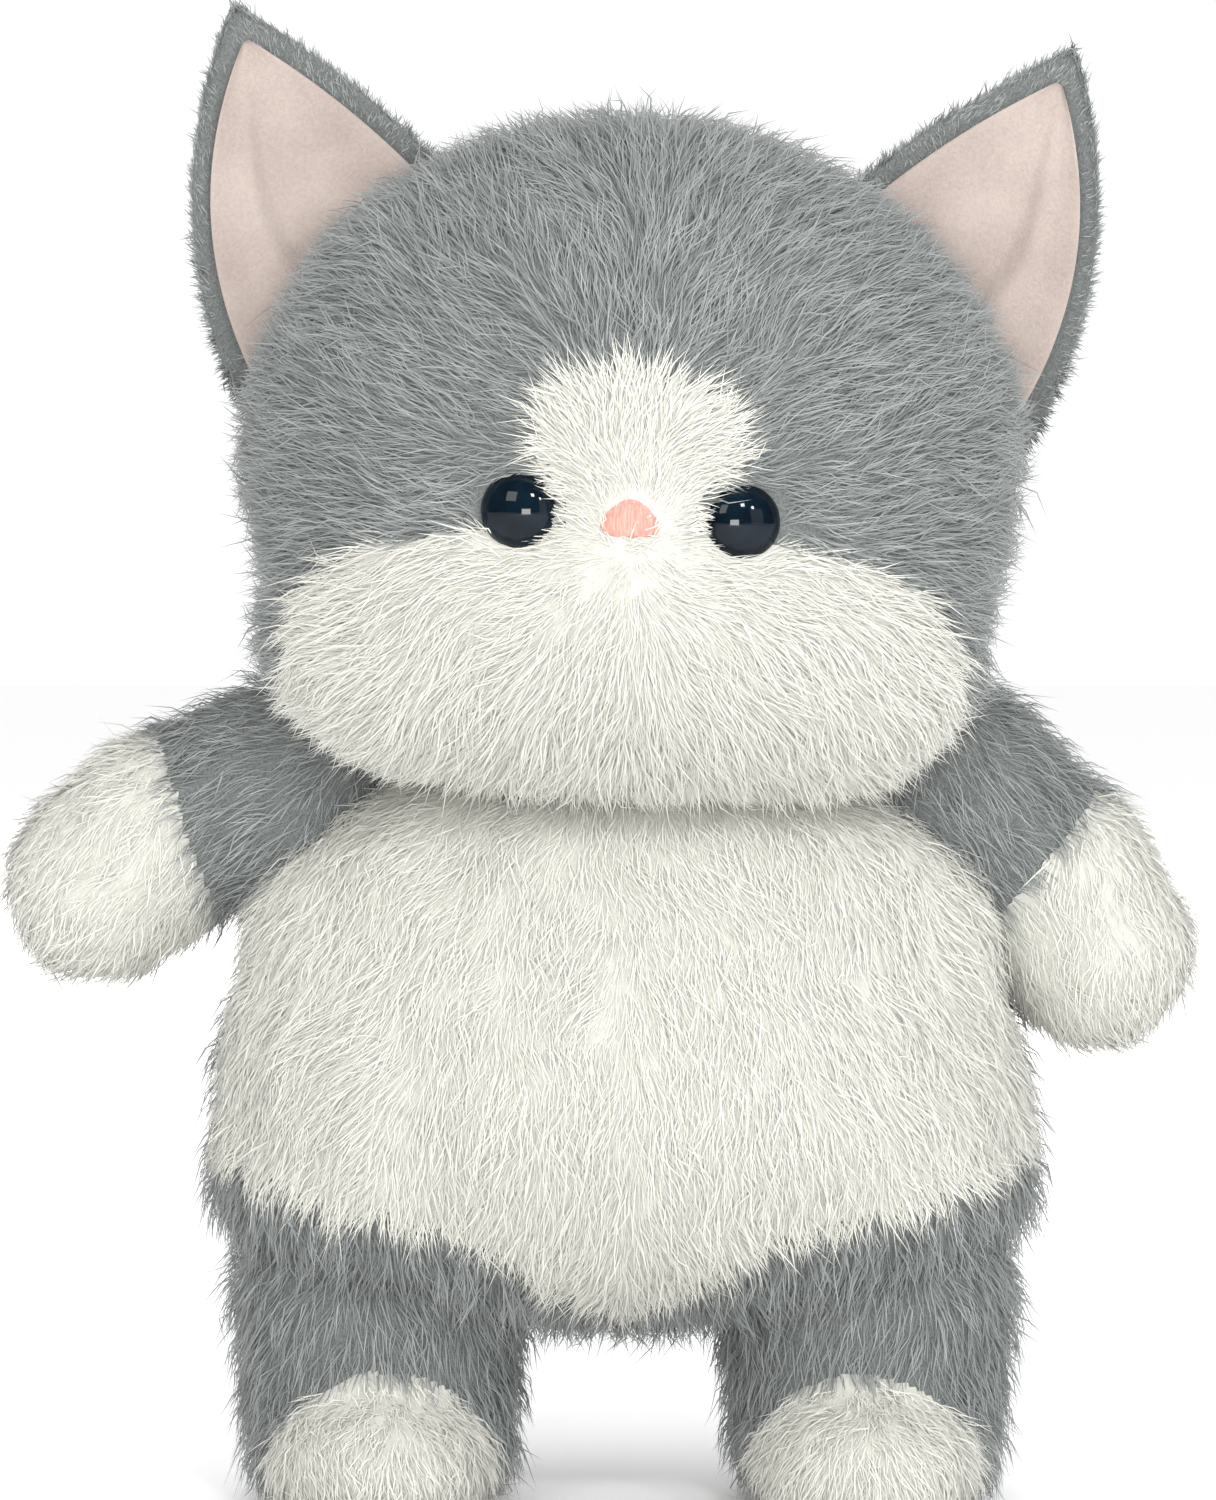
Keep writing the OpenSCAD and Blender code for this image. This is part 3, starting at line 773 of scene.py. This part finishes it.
NOSE_MAT = principled("nose_satin_stitch", (0.88, 0.42, 0.36), 0.42, Sheen_Weight=0.3, Specular_IOR_Level=0.4)
two_tone(NOSE_MAT, noise_of(NOSE_MAT, 1400.0, stretch=(1.0, 1.0, 0.12)), "Fac",
         (0.60, 0.235, 0.19), (0.80, 0.36, 0.30))

NOSE_FRONT, NOSE_SWELL, NOSE_BACK = -96.2, 3.6, -93.0
THREAD_PITCH = 1.0


def nose_mesh(nu=120, nv=40):
    """A soft triangle, point up: a swelling closed pad whose face is ribbed by upright threads."""
    a, r = np.meshgrid(np.arange(nu) / nu * 2 * math.pi, np.linspace(0.02, 1, nv), indexing="xy")
    x = 8.4 * np.cos(a) * (1 - 0.26 * np.sin(a)) * r
    z = (6.0 * np.sin(a) - 0.5 * np.cos(2 * a)) * r
    thread = 0.12 * np.sin(2 * math.pi * x / THREAD_PITCH) * (1 - r ** 6)
    front = NOSE_FRONT - NOSE_SWELL * np.sqrt(np.clip(1 - r ** 2.6, 0, 1)) - thread
    pts = np.concatenate([np.stack([x, y, z + NOSE_Z + 1.0], -1).reshape(-1, 3)
                          for y in (front, np.full_like(front, NOSE_BACK))])
    return turn_y(pts + FACE, LEAN, NECK), split(two_layers(nv, nu, ring=True))[:, ::-1]


pts, tris = nose_mesh()
nose = add_mesh("nose_pad", pts, tris, NOSE_MAT)
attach(nose, "head")
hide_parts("nose")

# ------------------------------------------------------------------ neck
# A stuffed ball of grey plush between head and body. It closes the gap and turns with the neck.
NECK_MID = NECK + (0, 6, 2)


def neck_field(p):
    return egg(p, NECK_MID, (60, 46, 26))


def comb_neck(p, n):
    return hairs(p, n, np.tile([0.0, 0.0, -1.0], (len(p), 1)), 13.0, lift=0.6, droop=0.2)


points, tris, uv = star_mesh(neck_field, NECK_MID, 90, 50)
panels("neck", NECK_MID, points, tris, uv, lambda c: np.full(len(c), "neck_stuffing"), {
    "neck_stuffing": (False, 2500, comb_neck)})

# ------------------------------------------------------------------ arms
# Short stuffed stubs: a grey plush sleeve and a white mitten paw without fingers, sewn end to end.
# The left arm hangs lower than the right.
SHOULDER_R, ARM_R, PAW_R = 30.0, 26.0, 27.5
SLEEVE_END = 33.0
for side, name in ((1, "left"), (-1, "right")):
    drop = math.radians(40 if side > 0 else 18)
    root = pivot(f"arm_{name}_raise")

    def along(t, off=0.0):
        """A point t along the arm from the shoulder, and off below it."""
        x, z = t * math.cos(drop) - off * math.sin(drop), -t * math.sin(drop) - off * math.cos(drop)
        return root + np.array([side * x, 0.0, z])

    paw_turn = drop + math.radians(20)
    paw_mid = along(55, 4)
    paw_dir = np.array([side * math.cos(paw_turn), 0.0, -math.sin(paw_turn)])

    def arm_field(p):
        parts = [egg(p, root, (SHOULDER_R,) * 3), bar(p, root + (0, 0, 6), along(40) + (0, 0, 4), ARM_R),
                 bar(p, paw_mid - paw_dir * 8, paw_mid + paw_dir * 9, PAW_R)]
        return melt(parts, 4.0) + lumps(p, 21 + side, 26, 1.4)

    arm_dir = unit(along(55) - root)

    def arm_region(c):
        t = (jitter(c, 1.5, 60) - root) @ arm_dir
        return np.where(t > SLEEVE_END, f"paw_{name}", f"sleeve_{name}")

    def comb_sleeve(p, n):
        flow = np.tile(arm_dir, (len(p), 1)) + np.array([0, 0, -0.35])
        return hairs(p, n, flow, 14.0, lift=0.45, droop=0.25)

    def comb_paw(p, n):
        flow = np.tile(paw_dir, (len(p), 1)) * 0.8 + unit(p - paw_mid) * 0.5 + np.array([0, 0, -0.35])
        return hairs(p, n, flow, 11.5, lift=0.30, droop=0.12, shade=0.58, long_share=0.26, **DENSE)

    mid = along(26)
    points, tris, uv = star_mesh(arm_field, mid, 96, 72, reach=120)
    panels(f"arm_{name}", mid, points, tris, uv, arm_region, {
        f"sleeve_{name}": (False, 3500, comb_sleeve), f"paw_{name}": (True, 6500, comb_paw)})

# ------------------------------------------------------------------ legs
# Round stuffed posts of grey plush with a white toe cap. A flat oval sole of short plush is sewn
# round the bottom of each, so that the toy stands.
for side, name in ((1, "left"), (-1, "right")):
    hip = pivot(f"leg_{name}_swing")
    foot = np.array([hip[0], hip[1], 0.0])
    toe = foot + (0, -26, 16)

    def leg_field(p):
        thin = 36.0 + 7.0 * np.clip(p[:, 2] / hip[2], 0, 1)
        post = bar(p, foot + (0, 0, 20), hip, 0.0) - thin
        field = melt([post, egg(p, toe, (33, 41, 23))], 4.0) + lumps(p, 31 + side, 30, 1.2)
        return np.maximum(field, 1.5 - p[:, 2])

    def leg_region(c):
        d = jitter(c, 1.5, 70) - foot
        cap = d[:, 1] < -24 - 0.42 * (d[:, 2] + 0.28 * side * d[:, 0])
        return np.where((d[:, 2] < 2.2) & (c[:, 2] < 2.0), f"sole_{name}",
                        np.where(cap, f"foot_{name}", f"leg_cover_{name}"))

    def comb_leg(p, n):
        d = p - foot
        flow = np.stack([d[:, 0] / 90, d[:, 1] / 90, -np.ones(len(p))], -1)
        return hairs(p, n, flow, 15.0, lift=0.42, droop=0.3)

    def comb_foot(p, n):
        d = p - toe
        flow = unit(d * (1, 1, 0.3)) * 0.7 + np.array([0, 0, -0.55])
        return hairs(p, n, flow, 11.5, lift=0.32, droop=0.15, shade=0.60, long_share=0.26, **DENSE)

    def comb_sole(p, n):
        flow = unit((p - foot) * (1, 1, 0)) + 0.01
        return hairs(p, n, flow, 2.0, lift=0.2, droop=0.0)

    mid = foot + (0, -6, 34)
    points, tris, uv = star_mesh(leg_field, mid, 104, 88, reach=140)
    panels(f"leg_{name}", mid, points, tris, uv, leg_region, {
        f"leg_cover_{name}": (False, 7000, comb_leg), f"foot_{name}": (True, 3800, comb_foot),
        f"sole_{name}": (True, 300, comb_sole)})

# ------------------------------------------------------------------ tail
# A short stuffed finger of grey plush. It is sewn low on the back and leans away from it.
TAIL = pivot("tail_swing")
TAIL_LEAN = math.radians(40)
TAIL_LONG, TAIL_R = 52.0, 11.5
tail_tip = TAIL + TAIL_LONG * np.array([0, math.sin(TAIL_LEAN), math.cos(TAIL_LEAN)])


def tail_field(p):
    return bar(p, TAIL, tail_tip, TAIL_R)


def comb_tail(p, n):
    return hairs(p, n, np.tile(unit(tail_tip - TAIL), (len(p), 1)), 13.0, lift=0.5, droop=0.15)


tail_mid = (TAIL + tail_tip) / 2
points, tris, uv = star_mesh(tail_field, tail_mid, 70, 90, reach=90, pole=tail_tip - TAIL)
panels("tail", tail_mid, points, tris, uv, lambda c: np.full(len(c), "tail_cover"), {
    "tail_cover": (False, 3000, comb_tail)})

# ------------------------------------------------------------------ filling, washers, stitches, label
# Inside the skins: white polyester fibre, nylon lock washers, grey thread, and a blank satin label
# that hangs from the back seam.
def mottled(name, dark, light, scale, roughness):
    """A material of slow noise between two colours."""
    mat = principled(name, light, roughness)
    two_tone(mat, noise_of(mat, scale, 3.0), "Fac", dark, light)
    return mat


FIBRE = mottled("polyester_fibre", (0.78, 0.77, 0.73), (0.93, 0.92, 0.89), 260.0, 0.9)
NYLON = mottled("washer_nylon", (0.78, 0.78, 0.76), (0.86, 0.86, 0.84), 180.0, 0.4)
THREAD = mottled("grey_thread", (0.16, 0.18, 0.19), (0.30, 0.32, 0.33), 2500.0, 0.7)
SATIN = mottled("label_satin", (0.80, 0.80, 0.78), (0.90, 0.90, 0.88), 900.0, 0.35)
for cad_node in frame["nodes"]:
    if "_stuffing" in cad_node and cad_node != "neck_stuffing":
        repaint(cad_node, FIBRE)
    elif cad_node.startswith("eye_washer"):
        repaint(cad_node, NYLON)
repaint("closing_stitches", THREAD)

LABEL_SLACK = 1.0                 # left free at each side of the label's space
LABEL_HALF_THICK = 0.15
LABEL_ROWS, LABEL_COLS = 31, 25
lo, hi = (np.array(c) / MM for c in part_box("care_label"))
LABEL_W, LABEL_H = hi[0] - lo[0] - 2 * LABEL_SLACK, hi[2] - lo[2]
u, v = np.meshgrid(np.linspace(0, 1, LABEL_COLS), np.linspace(0, 1, LABEL_ROWS))
across, down = lo[0] + LABEL_SLACK + LABEL_W * u, hi[2] - LABEL_H * v
depth = (lo[1] + hi[1]) / 2 + 1.2 * np.sin(u * math.pi) * v ** 1.5          # curls towards its free end
label_points = np.concatenate([np.stack([across, depth + gap, down], -1).reshape(-1, 3)
                               for gap in (-LABEL_HALF_THICK, LABEL_HALF_THICK)])
label = add_mesh("care_label_satin", label_points,
                 split(two_layers(LABEL_ROWS, LABEL_COLS)[:, ::-1]), SATIN)
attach(label, "torso")
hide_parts("care_label")
